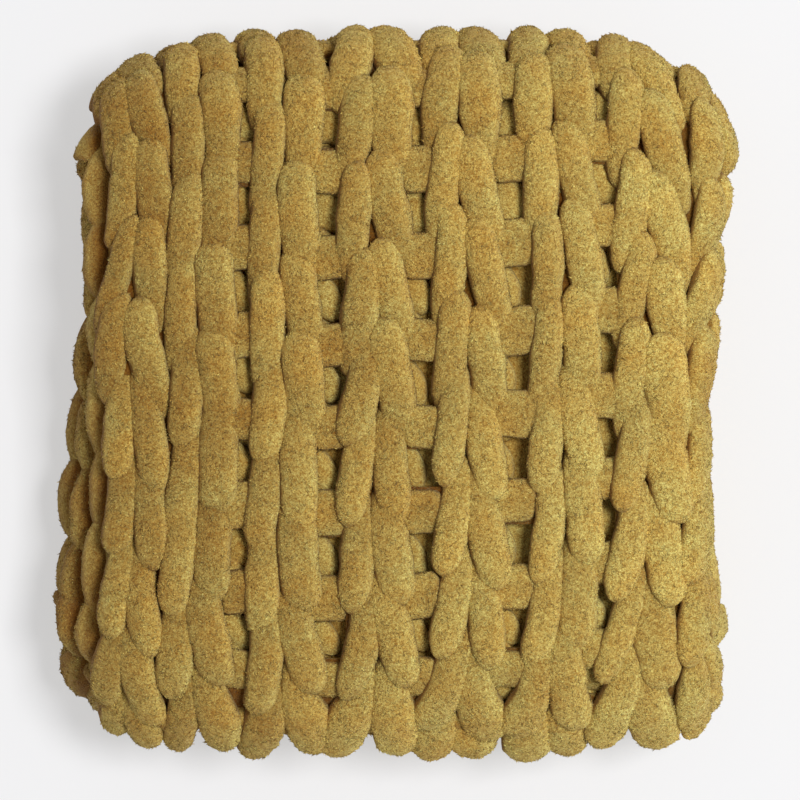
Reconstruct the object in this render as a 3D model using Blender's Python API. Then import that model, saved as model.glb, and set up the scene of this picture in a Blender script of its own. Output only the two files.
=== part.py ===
# Chunky chenille throw, knitted by hand in one piece and folded: in half across,
# then back and forth in three, so that six layers lie on each other.
# Metres, +Z up. The top layer shows its stitches as rows of leaning legs.
# u runs across the knit, v along its wales, and w out of its right side.
import math
from collections import namedtuple

import bpy
from mathutils.geometry import delaunay_2d_cdt

# Yarn and gauge
COURSE = 0.0505
LEG_CREST = 0.0120
LEG_CREST_INSIDE = 0.0100
CREVICE = 0.0030
PAIR_HOLE = -0.0020
SIDE_CREVICE = 0.0015
RUNG_CREST = 0.0055
GAP_LIP = 0.0000
LADDER_SWING = 0.0014
GAP_TO_END = 0.020
WRONG_SIDE = 0.0100
PLAIN_SIDE = 0.0100
GAP_SHARE = 0.52
SMALLEST_LADDER = 0.0040
SWING_AT = 0.7

# The pile of layers
LAYER_PITCH = 0.024
HALF_PITCH = LAYER_PITCH / 2
FOLD_RADIUS = LAYER_PITCH
FRONT_RADIUS = 0.060
FRONT_ANGLE = 58.0
PANEL_WIDTH = 0.348
SIDE_ARC = 0.060
GROUND = HALF_PITCH - PLAIN_SIDE
CLOTH_WIDTH = 2 * PANEL_WIDTH + SIDE_ARC
BACK_FOLD_Y = 0.167
FRONT_FOLD_Y = -0.138
FRONT_BEND_Y = -0.150
BOTTOM_END_Y = 0.196
FOLD_LENGTH = 0.126
FRONT_LENGTH = 0.079

# Edges of the knit
RIM = 0.006
RIM_HEIGHT = 0.0085
RIM_DIP = 0.30
RIM_CLEAR = 0.004
EDGE_LOBE = 0.0065
EDGE_UNEVEN = 0.35
EDGE_INNER = 0.8
LOBE_STEPS = (0.0, 0.8, 1.0, 0.7)
END_LOBE = 0.0040
END_DIP = 0.35
END_CREVICE = 0.2
END_CLEAR = 0.002
END_BAND = 0.016

# How the pile slumps
BACK_CORNER_DROP = 0.030
FRONT_CORNER_DROP = 0.013
CORNER_REACH = 0.182
CORNER_LIMIT = 1.15
CORNER_POWER = 5
CROWN_ACROSS = 0.10
CROWN_ALONG = 0.07
HALF_LENGTH = 0.215
HALF_WIDTH = 0.200
WAVE_HEIGHT = 0.02
WAVE_START = 0.8
WAVE_ACROSS = 0.061
WAVE_ALONG = 0.083

# Wales across the panel that lies on top, from its left edge, then round the side
# fold. ladder is the open space after a wale, and shift moves its courses.
Wale = namedtuple("Wale", "centre ladder shift gap_shift")
TOP_WALES = (
    Wale(centre=0.013, ladder=0.000, shift=0.020, gap_shift=0.00),
    Wale(centre=0.054, ladder=0.009, shift=0.035, gap_shift=-0.05),
    Wale(centre=0.104, ladder=0.012, shift=0.040, gap_shift=0.06),
    Wale(centre=0.158, ladder=0.013, shift=0.036, gap_shift=0.02),
    Wale(centre=0.212, ladder=0.015, shift=0.026, gap_shift=-0.10),
    Wale(centre=0.267, ladder=0.009, shift=0.014, gap_shift=-0.35),
    Wale(centre=0.317, ladder=0.000, shift=0.042, gap_shift=0.00),
    Wale(centre=0.365, ladder=0.000, shift=0.022, gap_shift=0.00),
)
BACK_WALES = 7
BACK_WALE_PITCH = 0.052
BACK_WALE_SHIFT = 0.006
BACK_WALE_TURN = 2.4
BACK_LADDER = 0.008

# One leg of a stitch, row by row: how far along its course, how high and wide it
# is there, and how far it leans from the middle of its pair.
LegRow = namedtuple("LegRow", "along height width lean")
LEG_ROWS = (
    LegRow(along=0.00, height=0.34, width=0.70, lean=-1.0),
    LegRow(along=0.10, height=0.84, width=0.84, lean=-0.8),
    LegRow(along=0.32, height=1.00, width=0.98, lean=-0.2),
    LegRow(along=0.62, height=0.97, width=1.00, lean=0.5),
    LegRow(along=0.86, height=0.72, width=0.86, lean=0.9),
)
SIDE_ROWS = (
    LegRow(along=0.00, height=0.34, width=1.0, lean=-1.0),
    LegRow(along=0.28, height=1.00, width=1.0, lean=-0.3),
    LegRow(along=0.70, height=0.92, width=1.0, lean=0.6),
)
LEG_COLUMNS = (-0.70, 0.00, 0.70)
LEG_ROUND = 0.95
LEG_LEAN = 0.24
UNEVEN_HEIGHT = 0.08
UNEVEN_PLACE = 0.0022
UNEVEN_TURN = 7.3
UNEVEN_SPREAD = 43.0

# Where the right side shows its stitches, and where they are raised in full. Each
# margin is kept from the start of a fold, and each share is of the side fold.
SHOWN_MARGIN = 0.012
SHOWN_ARC = 0.70
SIDE_MARGIN_BEFORE = 0.010
SIDE_MARGIN_AFTER = 0.012
FRONT_MARGIN = 0.010
LOW_CREST_ARC = 0.55
CREST_START = 0.040
CREST_RISE = 0.040
LAP_TURN = 0.50

# The sparse grid where no stitch is raised
PLAIN_ACROSS = 5
PLAIN_ALONG = 0.075
PLAIN_TURN = 40.0
PLAIN_ARC_STEPS = 4

# Working units of the triangulation, and the distance below which points are one
MILLIMETRES = 1000.0
SAME_POINT = 0.0005
KEY_DIGITS = 5

GOLD = (0.42, 0.29, 0.085, 1.0)
ROUGHNESS = 0.95

# The run of the doubled cloth seen from the side, from its hidden end at the
# bottom to the front edge that turns down over the pile.
Run = namedtuple("Run", "name length travel turn")
RUNS = (
    Run("bottom", BOTTOM_END_Y - FRONT_FOLD_Y, BOTTOM_END_Y - FRONT_FOLD_Y, 0.0),
    Run("lower fold", FOLD_LENGTH, math.pi * FOLD_RADIUS, -180.0),
    Run("middle", BACK_FOLD_Y - FRONT_FOLD_Y, BACK_FOLD_Y - FRONT_FOLD_Y, 0.0),
    Run("upper fold", FOLD_LENGTH, math.pi * FOLD_RADIUS, 180.0),
    Run("top", BACK_FOLD_Y - FRONT_BEND_Y, BACK_FOLD_Y - FRONT_BEND_Y, 0.0),
    Run("front bend", FRONT_LENGTH, FRONT_RADIUS * math.radians(FRONT_ANGLE), FRONT_ANGLE),
)
CLOTH_LENGTH = sum(run.length for run in RUNS)

# Where the edges of each layer lie, from the middle of the pile: at its back, in
# the middle and at its front. The side fold joins the two layers of a run.
Edges = namedtuple("Edges", "run upper lower fold")
LAYER_EDGES = (
    Edges("bottom", (-0.180, -0.190, -0.211), (-0.178, -0.187, -0.207), (0.160, 0.160, 0.182)),
    Edges("middle", (-0.188, -0.189, -0.203), (-0.182, -0.193, -0.212), (0.166, 0.159, 0.178)),
    Edges("top", (-0.179, -0.174, -0.181), (-0.190, -0.182, -0.192), (0.180, 0.162, 0.168)),
)


def smooth_step(value):
    t = min(max(value, 0.0), 1.0)
    return t * t * (3 - 2 * t)


def through_three(values, y):
    """The value at y of the curve through the back, middle and front values."""
    back, middle, front = values
    t = min(max(y / HALF_LENGTH, -1.0), 1.0)
    even = (back + front) / 2 - middle
    odd = (back - front) / 2
    return middle + odd * t + even * t * t


def run_starts():
    starts = [0.0]
    for run in RUNS:
        starts.append(starts[-1] + run.length)
    return starts


STARTS = run_starts()
START_OF = {run.name: STARTS[i] for i, run in enumerate(RUNS)}


def place_along(v):
    """(run number, share of it passed) at v."""
    for i, run in enumerate(RUNS):
        if v <= STARTS[i + 1] or i == len(RUNS) - 1:
            return i, (v - STARTS[i]) / run.length


def side_point(v):
    """Middle of the doubled cloth at v as (y, z), and its heading in radians."""
    y, z, heading = BOTTOM_END_Y, LAYER_PITCH, math.pi
    number, share = place_along(v)
    for i, run in enumerate(RUNS[: number + 1]):
        part = share if i == number else 1.0
        turn = math.radians(run.turn) * part
        travel = run.travel * part
        if run.turn == 0.0:
            y += travel * math.cos(heading)
            z += travel * math.sin(heading)
        else:
            radius = run.travel / math.radians(run.turn)
            y += radius * (math.sin(heading + turn) - math.sin(heading))
            z -= radius * (math.cos(heading + turn) - math.cos(heading))
            heading += turn
    return y, z, heading


def layer_mix(v):
    """Weights of the bottom, middle and top runs at v."""
    number, share = place_along(v)
    if number == 1:
        return 1 - smooth_step(share), smooth_step(share), 0.0
    if number == 3:
        return 0.0, 1 - smooth_step(share), smooth_step(share)
    return [(1.0, 0.0, 0.0), (0.0, 1.0, 0.0), (0.0, 0.0, 1.0)][number // 2]


def edge_place(kind, v, y):
    weights = layer_mix(v)
    return sum(
        weight * through_three(getattr(edges, kind), y)
        for weight, edges in zip(weights, LAYER_EDGES)
        if weight
    )


def slumped(x, y, z):
    """The pile's own sag: rounded corners, and a top that falls to its edges."""
    drop = BACK_CORNER_DROP if y > 0 else FRONT_CORNER_DROP
    corner = drop * min(abs(x) / CORNER_REACH, CORNER_LIMIT) ** CORNER_POWER
    y *= 1 - corner / HALF_LENGTH
    across = CROWN_ACROSS * (abs(x) / HALF_WIDTH) ** 4
    along = CROWN_ALONG * (abs(y) / HALF_LENGTH) ** 4
    wave = WAVE_HEIGHT * math.sin(x / WAVE_ACROSS + WAVE_START) * math.cos(y / WAVE_ALONG)
    return x, y, z * (1 - across - along + wave)


def folded(u, v, w, outward=0.0):
    """The place in the folded pile of a point of the flat cloth."""
    y, z, heading = side_point(v)
    # The layer that lies higher in each run: the middle run carries its halves turned over
    near, far = ("lower", "upper") if math.cos(heading) > 0 else ("upper", "lower")
    fold = edge_place("fold", v, y)
    edge = edge_place(near, v, y)
    # On the top run the wales keep their width, so the fold takes more or less of the cloth
    panel = PANEL_WIDTH + layer_mix(v)[2] * (fold - edge - PANEL_WIDTH)
    angle = math.pi * min(max((u - panel) / SIDE_ARC, 0.0), 1.0)
    if u <= panel:
        x = edge + (fold - edge) * u / panel - outward
    elif u < panel + SIDE_ARC:
        x = fold + (HALF_PITCH + w) * math.sin(angle)
    else:
        edge = edge_place(far, v, y)
        share = (CLOTH_WIDTH - u) / (CLOTH_WIDTH - panel - SIDE_ARC)
        x = edge + (fold - edge) * share - outward
    n = (HALF_PITCH + w) * math.cos(angle)
    y += n * math.sin(heading)
    z -= n * math.cos(heading)
    # What touches the ground is pressed flat on it
    return slumped(x, y, max(z - GROUND, 0.0))


def all_wales():
    wales = list(TOP_WALES)
    for i in range(BACK_WALES):
        centre = wales[-1].centre + BACK_WALE_PITCH
        if centre > CLOTH_WIDTH - BACK_WALE_PITCH / 3:
            break
        shift = BACK_WALE_SHIFT * math.sin(BACK_WALE_TURN * i)
        wales.append(Wale(centre=centre, ladder=BACK_LADDER, shift=shift, gap_shift=0.0))
    return wales


WALES = all_wales()


def leg_halves(number):
    """Half-widths of the left and the right leg of a wale."""
    wale = WALES[number]
    if number == 0:
        left = wale.centre - RIM / 2
    else:
        before = WALES[number - 1]
        left = (wale.centre - before.centre - before.ladder) / 2
    if number == len(WALES) - 1:
        right = CLOTH_WIDTH - RIM / 2 - wale.centre
    else:
        right = (WALES[number + 1].centre - wale.centre - wale.ladder) / 2
    return left / 2, right / 2


def laps_forward(v):
    """Whether a leg's upper end lies in front there, as on the back half of the top."""
    return v < START_OF["top"] + LAP_TURN * (BACK_FOLD_Y - FRONT_BEND_Y)


def leg_rows(v):
    """The rows of a leg there: the same turned round where the lower ends lie in front."""
    if laps_forward(v):
        return LEG_ROWS
    turned = [LegRow(1 - row.along, row.height, row.width, -row.lean) for row in LEG_ROWS[1:]]
    return [LEG_ROWS[0]] + turned


def crest_at(u, v):
    """Highest part of a leg: more where the right side faces out of the pile."""
    if u > PANEL_WIDTH + LOW_CREST_ARC * SIDE_ARC:
        return LEG_CREST_INSIDE
    passed = v - START_OF["upper fold"] - CREST_START
    return LEG_CREST_INSIDE + (LEG_CREST - LEG_CREST_INSIDE) * smooth_step(passed / CREST_RISE)


def shows(u, v):
    """Whether the right side shows its stitches there: on top and round the back fold."""
    return u < PANEL_WIDTH + SHOWN_ARC * SIDE_ARC and v > START_OF["upper fold"] + SHOWN_MARGIN


def shows_half(u, v):
    """Places that show less: the side fold, and the lower fold at the front."""
    side = PANEL_WIDTH - SIDE_MARGIN_BEFORE < u < PANEL_WIDTH + SIDE_ARC + SIDE_MARGIN_AFTER
    front = START_OF["lower fold"] + FRONT_MARGIN < v < START_OF["middle"] - FRONT_MARGIN
    return side or (front and u > PANEL_WIDTH)


class Face:
    """Points of one side of the cloth, each with its place across, along and out."""

    def __init__(self):
        self.points = []
        self.edges = []
        self.taken = {}

    def add(self, u, v, w, outward=0.0):
        key = (round(u, KEY_DIGITS), round(v, KEY_DIGITS))
        if key not in self.taken:
            self.taken[key] = len(self.points)
            self.points.append((u, v, w, outward))
        return self.taken[key]

    def ring(self, numbers):
        self.edges += [(a, b) for a, b in zip(numbers, numbers[1:] + numbers[:1])]


def uneven(*numbers):
    """A steady value from -1 to 1 for a stitch, so that no two are quite alike."""
    seed = sum(math.sin(UNEVEN_TURN * n + i) * (i + 1) for i, n in enumerate(numbers))
    return math.sin(UNEVEN_SPREAD * seed)


def course_phase(v, shift):
    """How far along its course v lies, from 0 to 1."""
    return (v - START_OF["top"] - shift) / COURSE % 1.0


def course_starts(shift):
    """Each course's start along the cloth, for a wale with this shift."""
    first = START_OF["top"] + shift
    count = int(first / COURSE) + 1
    return [first + COURSE * i for i in range(-count, int((CLOTH_LENGTH - first) / COURSE) + 1)]


def inside(u, v):
    """Whether a point is clear of the band along the cloth's edges."""
    margin = RIM + RIM_CLEAR
    return margin < u < CLOTH_WIDTH - margin and END_BAND < v < CLOTH_LENGTH - END_BAND


def add_legs(face):
    for number, wale in enumerate(WALES):
        sides = list(zip(leg_halves(number), (-1, 1)))
        if number == 0:
            sides = sides[1:]
        for course, start in enumerate(course_starts(wale.shift)):
            for row in leg_rows(start + COURSE / 2):
                moved = UNEVEN_PLACE * uneven(number, course)
                v = start + row.along * COURSE + moved
                if not shows(wale.centre, v):
                    continue
                if inside(wale.centre, v):
                    face.add(wale.centre, v, CREVICE if row.along else PAIR_HOLE)
                for half, way in sides:
                    size = 1 + UNEVEN_HEIGHT * uneven(number, course, way)
                    middle = way * (1 + row.lean * LEG_LEAN)
                    for column in LEG_COLUMNS:
                        u = wale.centre + half * (middle + column * row.width)
                        if inside(u, v) and shows(u, v):
                            fullness = row.height * math.sqrt(1 - (column * LEG_ROUND) ** 2)
                            face.add(u, v, crest_at(u, v) * size * fullness)


def add_half_shown(face):
    for number, wale in enumerate(WALES):
        halves = leg_halves(number)
        beside = wale.centre + 2 * halves[1] + wale.ladder / 2
        for course, start in enumerate(course_starts(wale.shift)):
            for row in SIDE_ROWS:
                v = start + row.along * COURSE
                places = [(wale.centre, SIDE_CREVICE), (beside, SIDE_CREVICE)]
                for half, way in zip(halves, (-1, 1)):
                    size = 1 + UNEVEN_HEIGHT * uneven(number, course, way)
                    u = wale.centre + half * way * (1 + row.lean * LEG_LEAN)
                    places.append((u, LEG_CREST_INSIDE * row.height * size))
                for u, w in places:
                    if inside(u, v) and shows_half(u, v) and not shows(u, v):
                        face.add(u, v, w)


def ladder_sides(number, v):
    """Both edges of the ladder after a wale, which swing with its legs."""
    wale, after = WALES[number], WALES[number + 1]
    left = wale.centre + 2 * leg_halves(number)[1]
    right = after.centre - 2 * leg_halves(number + 1)[0]
    turns = [course_phase(v, shift) - SWING_AT for shift in (wale.shift, after.shift)]
    swing = [LADDER_SWING * math.cos(2 * math.pi * turn) for turn in turns]
    return left + swing[0], right - swing[1]


def add_ladders(right_side, wrong_side):
    """Rungs and gaps between the wales. Returns each gap's ring on both sides."""
    gaps = []
    for number, wale in enumerate(WALES[:-1]):
        left, right = ladder_sides(number, 0.0)
        if not shows(right, START_OF["top"]):
            continue
        open_ladder = right - left > SMALLEST_LADDER
        for start in course_starts(wale.gap_shift * COURSE):
            marks = [start, start + GAP_SHARE / 2 * COURSE, start + GAP_SHARE * COURSE]
            rung = start + (1 + GAP_SHARE) / 2 * COURSE
            if not open_ladder:
                for v in (start, rung):
                    if shows(left, v) and inside(left, v):
                        right_side.add((left + right) / 2, v, SIDE_CREVICE)
                continue
            if shows(left, rung) and inside(left, rung):
                for u in ladder_sides(number, rung):
                    right_side.add(u, rung, RUNG_CREST)
            ring = [(ladder_sides(number, v)[0], v) for v in marks]
            ring += [(ladder_sides(number, v)[1], v) for v in reversed(marks)]
            ring = [(u, v) for u, v in ring if shows(u, v) and inside(u, v)]
            on_right = [right_side.add(u, v, GAP_LIP) for u, v in ring]
            clear_of_end = marks[-1] < CLOTH_LENGTH - END_BAND - GAP_TO_END
            if len(ring) == 2 * len(marks) and clear_of_end:
                on_wrong = [wrong_side.add(u, v, -WRONG_SIDE) for u, v in ring]
                right_side.ring(on_right)
                wrong_side.ring(on_wrong)
                gaps.append((on_right, on_wrong, ring))
    return gaps


def add_rims(right_side, wrong_side):
    """The edge all round, shared by both sides, and the band just inside it."""
    rim = []
    count = round(CLOTH_LENGTH / COURSE) * len(LOBE_STEPS)
    marks = [CLOTH_LENGTH * i / count for i in range(count + 1)]
    for u, way in ((0.0, 1), (CLOTH_WIDTH, -1)):
        for i, v in enumerate(marks):
            course, step = divmod(i, len(LOBE_STEPS))
            full = LOBE_STEPS[step]
            lobe = EDGE_LOBE * full * (1 + EDGE_UNEVEN * uneven(course, way))
            rim.append((u, v, 0.0, lobe))
            if 0 < i < count:
                height = RIM_HEIGHT * (1 - RIM_DIP * (1 - full))
                right_side.add(u + way * RIM, v, height, lobe * EDGE_INNER)
                wrong_side.add(u + way * RIM, v, -height, lobe * EDGE_INNER)
    for v, way in ((0.0, 1), (CLOTH_LENGTH, -1)):
        for number, wale in enumerate(WALES):
            halves = leg_halves(number)
            between = wale.centre + 2 * halves[1] + wale.ladder / 2
            places = [(wale.centre - halves[0], 1.0), (wale.centre, END_CREVICE)]
            places += [(wale.centre + halves[1], 1.0), (between, 0.0)]
            for u, full in places:
                if not RIM + END_CLEAR < u < CLOTH_WIDTH - RIM - END_CLEAR:
                    continue
                rim.append((u, v, 0.0, 0.0))
                height = RIM_HEIGHT * (1 - END_DIP * (1 - full))
                inner = v + way * (RIM + END_LOBE * (1 - full))
                right_side.add(u, inner, height)
                wrong_side.add(u, inner, -height)
    for u, v, w, outward in rim:
        right_side.add(u, v, w, outward)
        wrong_side.add(u, v, w, outward)


def add_plain(face, w, keep_off):
    """A sparse grid where no stitch is raised, with rows close together at the folds."""
    rows = []
    for i, run in enumerate(RUNS):
        count = max(1, round(run.length / PLAIN_ALONG), math.ceil(abs(run.turn) / PLAIN_TURN))
        rows += [STARTS[i] + run.length * j / count for j in range(count)]
    panel = [PANEL_WIDTH * (i + 0.5) / PLAIN_ACROSS for i in range(PLAIN_ACROSS)]
    arc = [PANEL_WIDTH + SIDE_ARC * i / PLAIN_ARC_STEPS for i in range(PLAIN_ARC_STEPS + 1)]
    columns = panel + arc + [CLOTH_WIDTH - u for u in panel]
    for v in rows:
        for u in columns:
            if inside(u, v) and not keep_off(u, v):
                face.add(u, v, w)


def in_ring(u, v, ring):
    """Whether a point of the flat cloth lies inside a gap's ring."""
    found = False
    for (u1, v1), (u2, v2) in zip(ring, ring[1:] + ring[:1]):
        if (v1 > v) != (v2 > v) and u < u1 + (v - v1) * (u2 - u1) / (v2 - v1):
            found = not found
    return found


def triangles(face, rings):
    """The face's triangles, less those that lie in a gap's ring."""
    flat = [(u * MILLIMETRES, v * MILLIMETRES) for u, v, _, _ in face.points]
    coords, _, faces, origins = delaunay_2d_cdt(flat, face.edges, [], 0, SAME_POINT)[:4]
    kept = []
    for corners in faces:
        numbers = [origins[c][0] for c in corners]
        u = sum(face.points[n][0] for n in numbers) / 3
        v = sum(face.points[n][1] for n in numbers) / 3
        if any(in_ring(u, v, ring) for ring in rings):
            continue
        a, b, c = (coords[i] for i in corners)
        area = (b[0] - a[0]) * (c[1] - a[1]) - (b[1] - a[1]) * (c[0] - a[0])
        kept.append(numbers if area < 0 else numbers[::-1])
    return kept


def build_throw():
    right_side, wrong_side = Face(), Face()
    add_rims(right_side, wrong_side)
    gaps = add_ladders(right_side, wrong_side)
    add_legs(right_side)
    add_half_shown(right_side)
    add_plain(right_side, PLAIN_SIDE, lambda u, v: shows(u, v) or shows_half(u, v))
    add_plain(wrong_side, -WRONG_SIDE, lambda u, v: False)
    rings = [gap[2] for gap in gaps]
    faces = triangles(right_side, rings)
    points = [folded(*point) for point in right_side.points]
    index = {}
    for number, point in enumerate(wrong_side.points):
        if point[2] == 0.0:
            key = (round(point[0], KEY_DIGITS), round(point[1], KEY_DIGITS))
            index[number] = right_side.taken[key]
        else:
            index[number] = len(points)
            points.append(folded(*point))
    for corners in triangles(wrong_side, rings):
        faces.append([index[n] for n in reversed(corners)])
    for on_right, on_wrong, _ in gaps:
        count = len(on_right)
        for i in range(count):
            j = (i + 1) % count
            upper, lower = (on_right[i], on_right[j]), (index[on_wrong[i]], index[on_wrong[j]])
            faces.append([upper[0], upper[1], lower[1]])
            faces.append([upper[0], lower[1], lower[0]])
    return centred(points), faces


def centred(points):
    """The points moved so that the pile stands on z = 0 about its own middle."""
    lows = [min(point[axis] for point in points) for axis in range(3)]
    highs = [max(point[axis] for point in points) for axis in range(3)]
    move = (-(lows[0] + highs[0]) / 2, -(lows[1] + highs[1]) / 2, -lows[2])
    return [tuple(value + step for value, step in zip(point, move)) for point in points]


def chenille():
    material = bpy.data.materials.new("mustard chenille")
    material.use_nodes = True
    shader = material.node_tree.nodes["Principled BSDF"]
    shader.inputs["Base Color"].default_value = GOLD
    shader.inputs["Roughness"].default_value = ROUGHNESS
    shader.inputs["Metallic"].default_value = 0.0
    return material


def main():
    for old in list(bpy.data.objects):
        bpy.data.objects.remove(old)
    points, faces = build_throw()
    mesh = bpy.data.meshes.new("throw")
    mesh.from_pydata(points, [], faces)
    mesh.update()
    throw = bpy.data.objects.new("throw", mesh)
    bpy.context.scene.collection.objects.link(throw)
    throw.data.materials.append(chenille())
    mesh.shade_smooth()


main()
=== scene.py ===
import math

import bpy
import numpy as np
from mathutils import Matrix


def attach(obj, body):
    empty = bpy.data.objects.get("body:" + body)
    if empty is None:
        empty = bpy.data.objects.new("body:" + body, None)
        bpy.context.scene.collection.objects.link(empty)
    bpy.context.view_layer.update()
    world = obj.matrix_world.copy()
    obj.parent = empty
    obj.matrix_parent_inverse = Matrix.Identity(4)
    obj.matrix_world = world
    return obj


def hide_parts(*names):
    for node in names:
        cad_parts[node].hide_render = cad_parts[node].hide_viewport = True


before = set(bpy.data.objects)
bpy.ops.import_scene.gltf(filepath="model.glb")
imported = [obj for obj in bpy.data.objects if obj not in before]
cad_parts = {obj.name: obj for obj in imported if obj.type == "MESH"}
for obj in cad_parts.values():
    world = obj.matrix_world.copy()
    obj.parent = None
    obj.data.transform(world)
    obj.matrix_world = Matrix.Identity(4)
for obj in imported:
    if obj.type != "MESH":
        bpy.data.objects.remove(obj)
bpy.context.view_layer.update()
bpy.ops.object.select_all(action="DESELECT")
dice = np.random.default_rng(11)
print("packed throw loaded")

# The cloth as it lies flat: u across the knit, v along its wales, w out of its
# right side, all in metres. It is the same cloth as in the solid.
knit = {
    "width": 0.756,
    "length": 1.287,
    "course": 0.0505,
    "sideArc": 0.060,
    "panel": 0.348,
}

# Wales on the top panel, from its left edge round the side fold: middle, open
# space after it, start of its courses, how much later its left legs begin, start
# of its gaps as a share of a course, and how far its legs are leaning ovals.
topWales = [
    {"at": 0.013, "ladder": 0.000, "shift": 0.020, "late": -0.006, "gap": 0.00, "lens": 0.9},
    {"at": 0.054, "ladder": 0.009, "shift": 0.035, "late": 0.012, "gap": -0.05, "lens": 0.3},
    {"at": 0.104, "ladder": 0.012, "shift": 0.040, "late": 0.014, "gap": 0.06, "lens": 0.3},
    {"at": 0.158, "ladder": 0.013, "shift": 0.036, "late": 0.006, "gap": 0.02, "lens": 1.1},
    {"at": 0.212, "ladder": 0.015, "shift": 0.026, "late": -0.008, "gap": -0.10, "lens": 1.0},
    {"at": 0.267, "ladder": 0.009, "shift": 0.014, "late": 0.008, "gap": -0.35, "lens": 0.6},
    {"at": 0.317, "ladder": 0.000, "shift": 0.042, "late": -0.010, "gap": 0.00, "lens": 1.5},
    {"at": 0.365, "ladder": 0.000, "shift": 0.022, "late": 0.009, "gap": 0.00, "lens": 1.5},
]

# Wales of the lower half, which follow on; their courses swing a little
backWales = {
    "count": 7,
    "pitch": 0.052,
    "ladder": 0.008,
    "swing": 0.006,
    "turn": 2.4,
    "lens": 0.7,
}

# The folded pile seen from its side: each run of the doubled cloth with its
# length, the travel of its middle and its turn in degrees. Drops draw the corners
# in, and crowns and waves lower the top towards its edges.
pile = {
    "layerPitch": 0.024,
    "runs": [
        (0.334, 0.334, 0),
        (0.126, math.pi * 0.024, -180),
        (0.305, 0.305, 0),
        (0.126, math.pi * 0.024, 180),
        (0.317, 0.317, 0),
        (0.079, math.radians(58) * 0.060, 58),
    ],
    "bottomEnd": 0.196,
    "ground": 0.002,
    "halfLength": 0.215,
    "halfWidth": 0.200,
    "backDrop": 0.030,
    "frontDrop": 0.013,
    "cornerReach": 0.182,
    "cornerMost": 1.15,
    "cornerPower": 5,
    "crownAcross": 0.10,
    "crownAlong": 0.07,
    "crownPower": 4,
    "wave": {"height": 0.02, "across": 0.061, "start": 0.8, "along": 0.083},
    "middle": (0.0066, -0.0001),
}

# Edges of the bottom, middle and top runs: at the back, in the middle, in front
layerEdges = {
    "upper": [(-0.180, -0.190, -0.211), (-0.188, -0.189, -0.203), (-0.179, -0.174, -0.181)],
    "lower": [(-0.178, -0.187, -0.207), (-0.182, -0.193, -0.212), (-0.190, -0.182, -0.192)],
    "fold": [(0.160, 0.160, 0.182), (0.166, 0.159, 0.178), (0.180, 0.162, 0.168)],
}

runStarts = np.cumsum([0.0] + [run[0] for run in pile["runs"]])
topStart = runStarts[4]


def smooth(value):
    t = np.clip(value, 0.0, 1.0)
    return t * t * (3 - 2 * t)


def sideLine(v):
    # Middle of the doubled cloth at v, and which way it heads there
    y, z, heading = pile["bottomEnd"], pile["layerPitch"], math.pi
    outY, outZ, outHeading = np.zeros_like(v), np.zeros_like(v), np.zeros_like(v)
    last = len(pile["runs"]) - 1
    for i, (length, travel, turn) in enumerate(pile["runs"]):
        here = (v >= runStarts[i]) if i else np.ones_like(v, bool)
        share = (v[here] - runStarts[i]) / length
        if i < last:
            share = np.minimum(share, 1.0)
        for part, final in ((share, False), (np.array([1.0]), True)):
            if turn:
                angle = math.radians(turn) * part
                radius = travel / math.radians(turn)
                newY = y + radius * (np.sin(heading + angle) - math.sin(heading))
                newZ = z - radius * (np.cos(heading + angle) - math.cos(heading))
                newHeading = heading + angle
            else:
                newY = y + travel * part * math.cos(heading)
                newZ = z + travel * part * math.sin(heading)
                newHeading = heading + 0 * part
            if final:
                y, z, heading = newY[0], newZ[0], newHeading[0]
            else:
                outY[here], outZ[here], outHeading[here] = newY, newZ, newHeading
    return outY, outZ, outHeading


def edgeLine(kind, v, y):
    # Where an edge of the layers lies at v: the run's own curve from back to front
    t = np.clip(y / pile["halfLength"], -1, 1)
    toMiddle = smooth((v - runStarts[1]) / (runStarts[2] - runStarts[1]))
    toTop = smooth((v - runStarts[3]) / (runStarts[4] - runStarts[3]))
    weights = (1 - toMiddle, toMiddle - toTop, toTop)
    place = np.zeros_like(v)
    for weight, (back, mid, front) in zip(weights, layerEdges[kind]):
        place += weight * (mid + (back - front) / 2 * t + ((back + front) / 2 - mid) * t * t)
    return place, toTop


def foldCloth(u, v, w, out):
    # Lays points of the flat cloth in the folded pile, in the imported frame; out
    # moves them to the left of their place
    y, z, heading = sideLine(v)
    half = pile["layerPitch"] / 2
    edgeUp, toTop = edgeLine("upper", v, y)
    edgeLow = edgeLine("lower", v, y)[0]
    fold = edgeLine("fold", v, y)[0]
    turned = np.cos(heading) > 0
    edgeA = np.where(turned, edgeLow, edgeUp)
    edgeB = np.where(turned, edgeUp, edgeLow)
    panel = knit["panel"] + toTop * (fold - edgeA - knit["panel"])
    angle = math.pi * np.clip((u - panel) / knit["sideArc"], 0, 1)
    first, second = u <= panel, u >= panel + knit["sideArc"]
    n = (half + w) * np.cos(angle)
    y = y + n * np.sin(heading)
    z = z - n * np.cos(heading)
    restB = knit["width"] - panel - knit["sideArc"]
    x = fold + (half + w) * np.sin(angle)
    x = np.where(first, edgeA + (fold - edgeA) * u / panel - out, x)
    x = np.where(second, edgeB + (fold - edgeB) * (knit["width"] - u) / restB - out, x)
    z = np.maximum(z - pile["ground"], 0)
    drop = np.where(y > 0, pile["backDrop"], pile["frontDrop"])
    cornerShare = np.minimum(np.abs(x) / pile["cornerReach"], pile["cornerMost"])
    corner = drop * cornerShare ** pile["cornerPower"]
    y = y * (1 - corner / pile["halfLength"])
    across = pile["crownAcross"] * (np.abs(x) / pile["halfWidth"]) ** pile["crownPower"]
    along = pile["crownAlong"] * (np.abs(y) / pile["halfLength"]) ** pile["crownPower"]
    wave = pile["wave"]
    rolls = wave["height"] * np.sin(x / wave["across"] + wave["start"]) * np.cos(y / wave["along"])
    z = z * (1 - across - along + rolls)
    return np.stack([x + pile["middle"][0], y + pile["middle"][1], z], -1)


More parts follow.
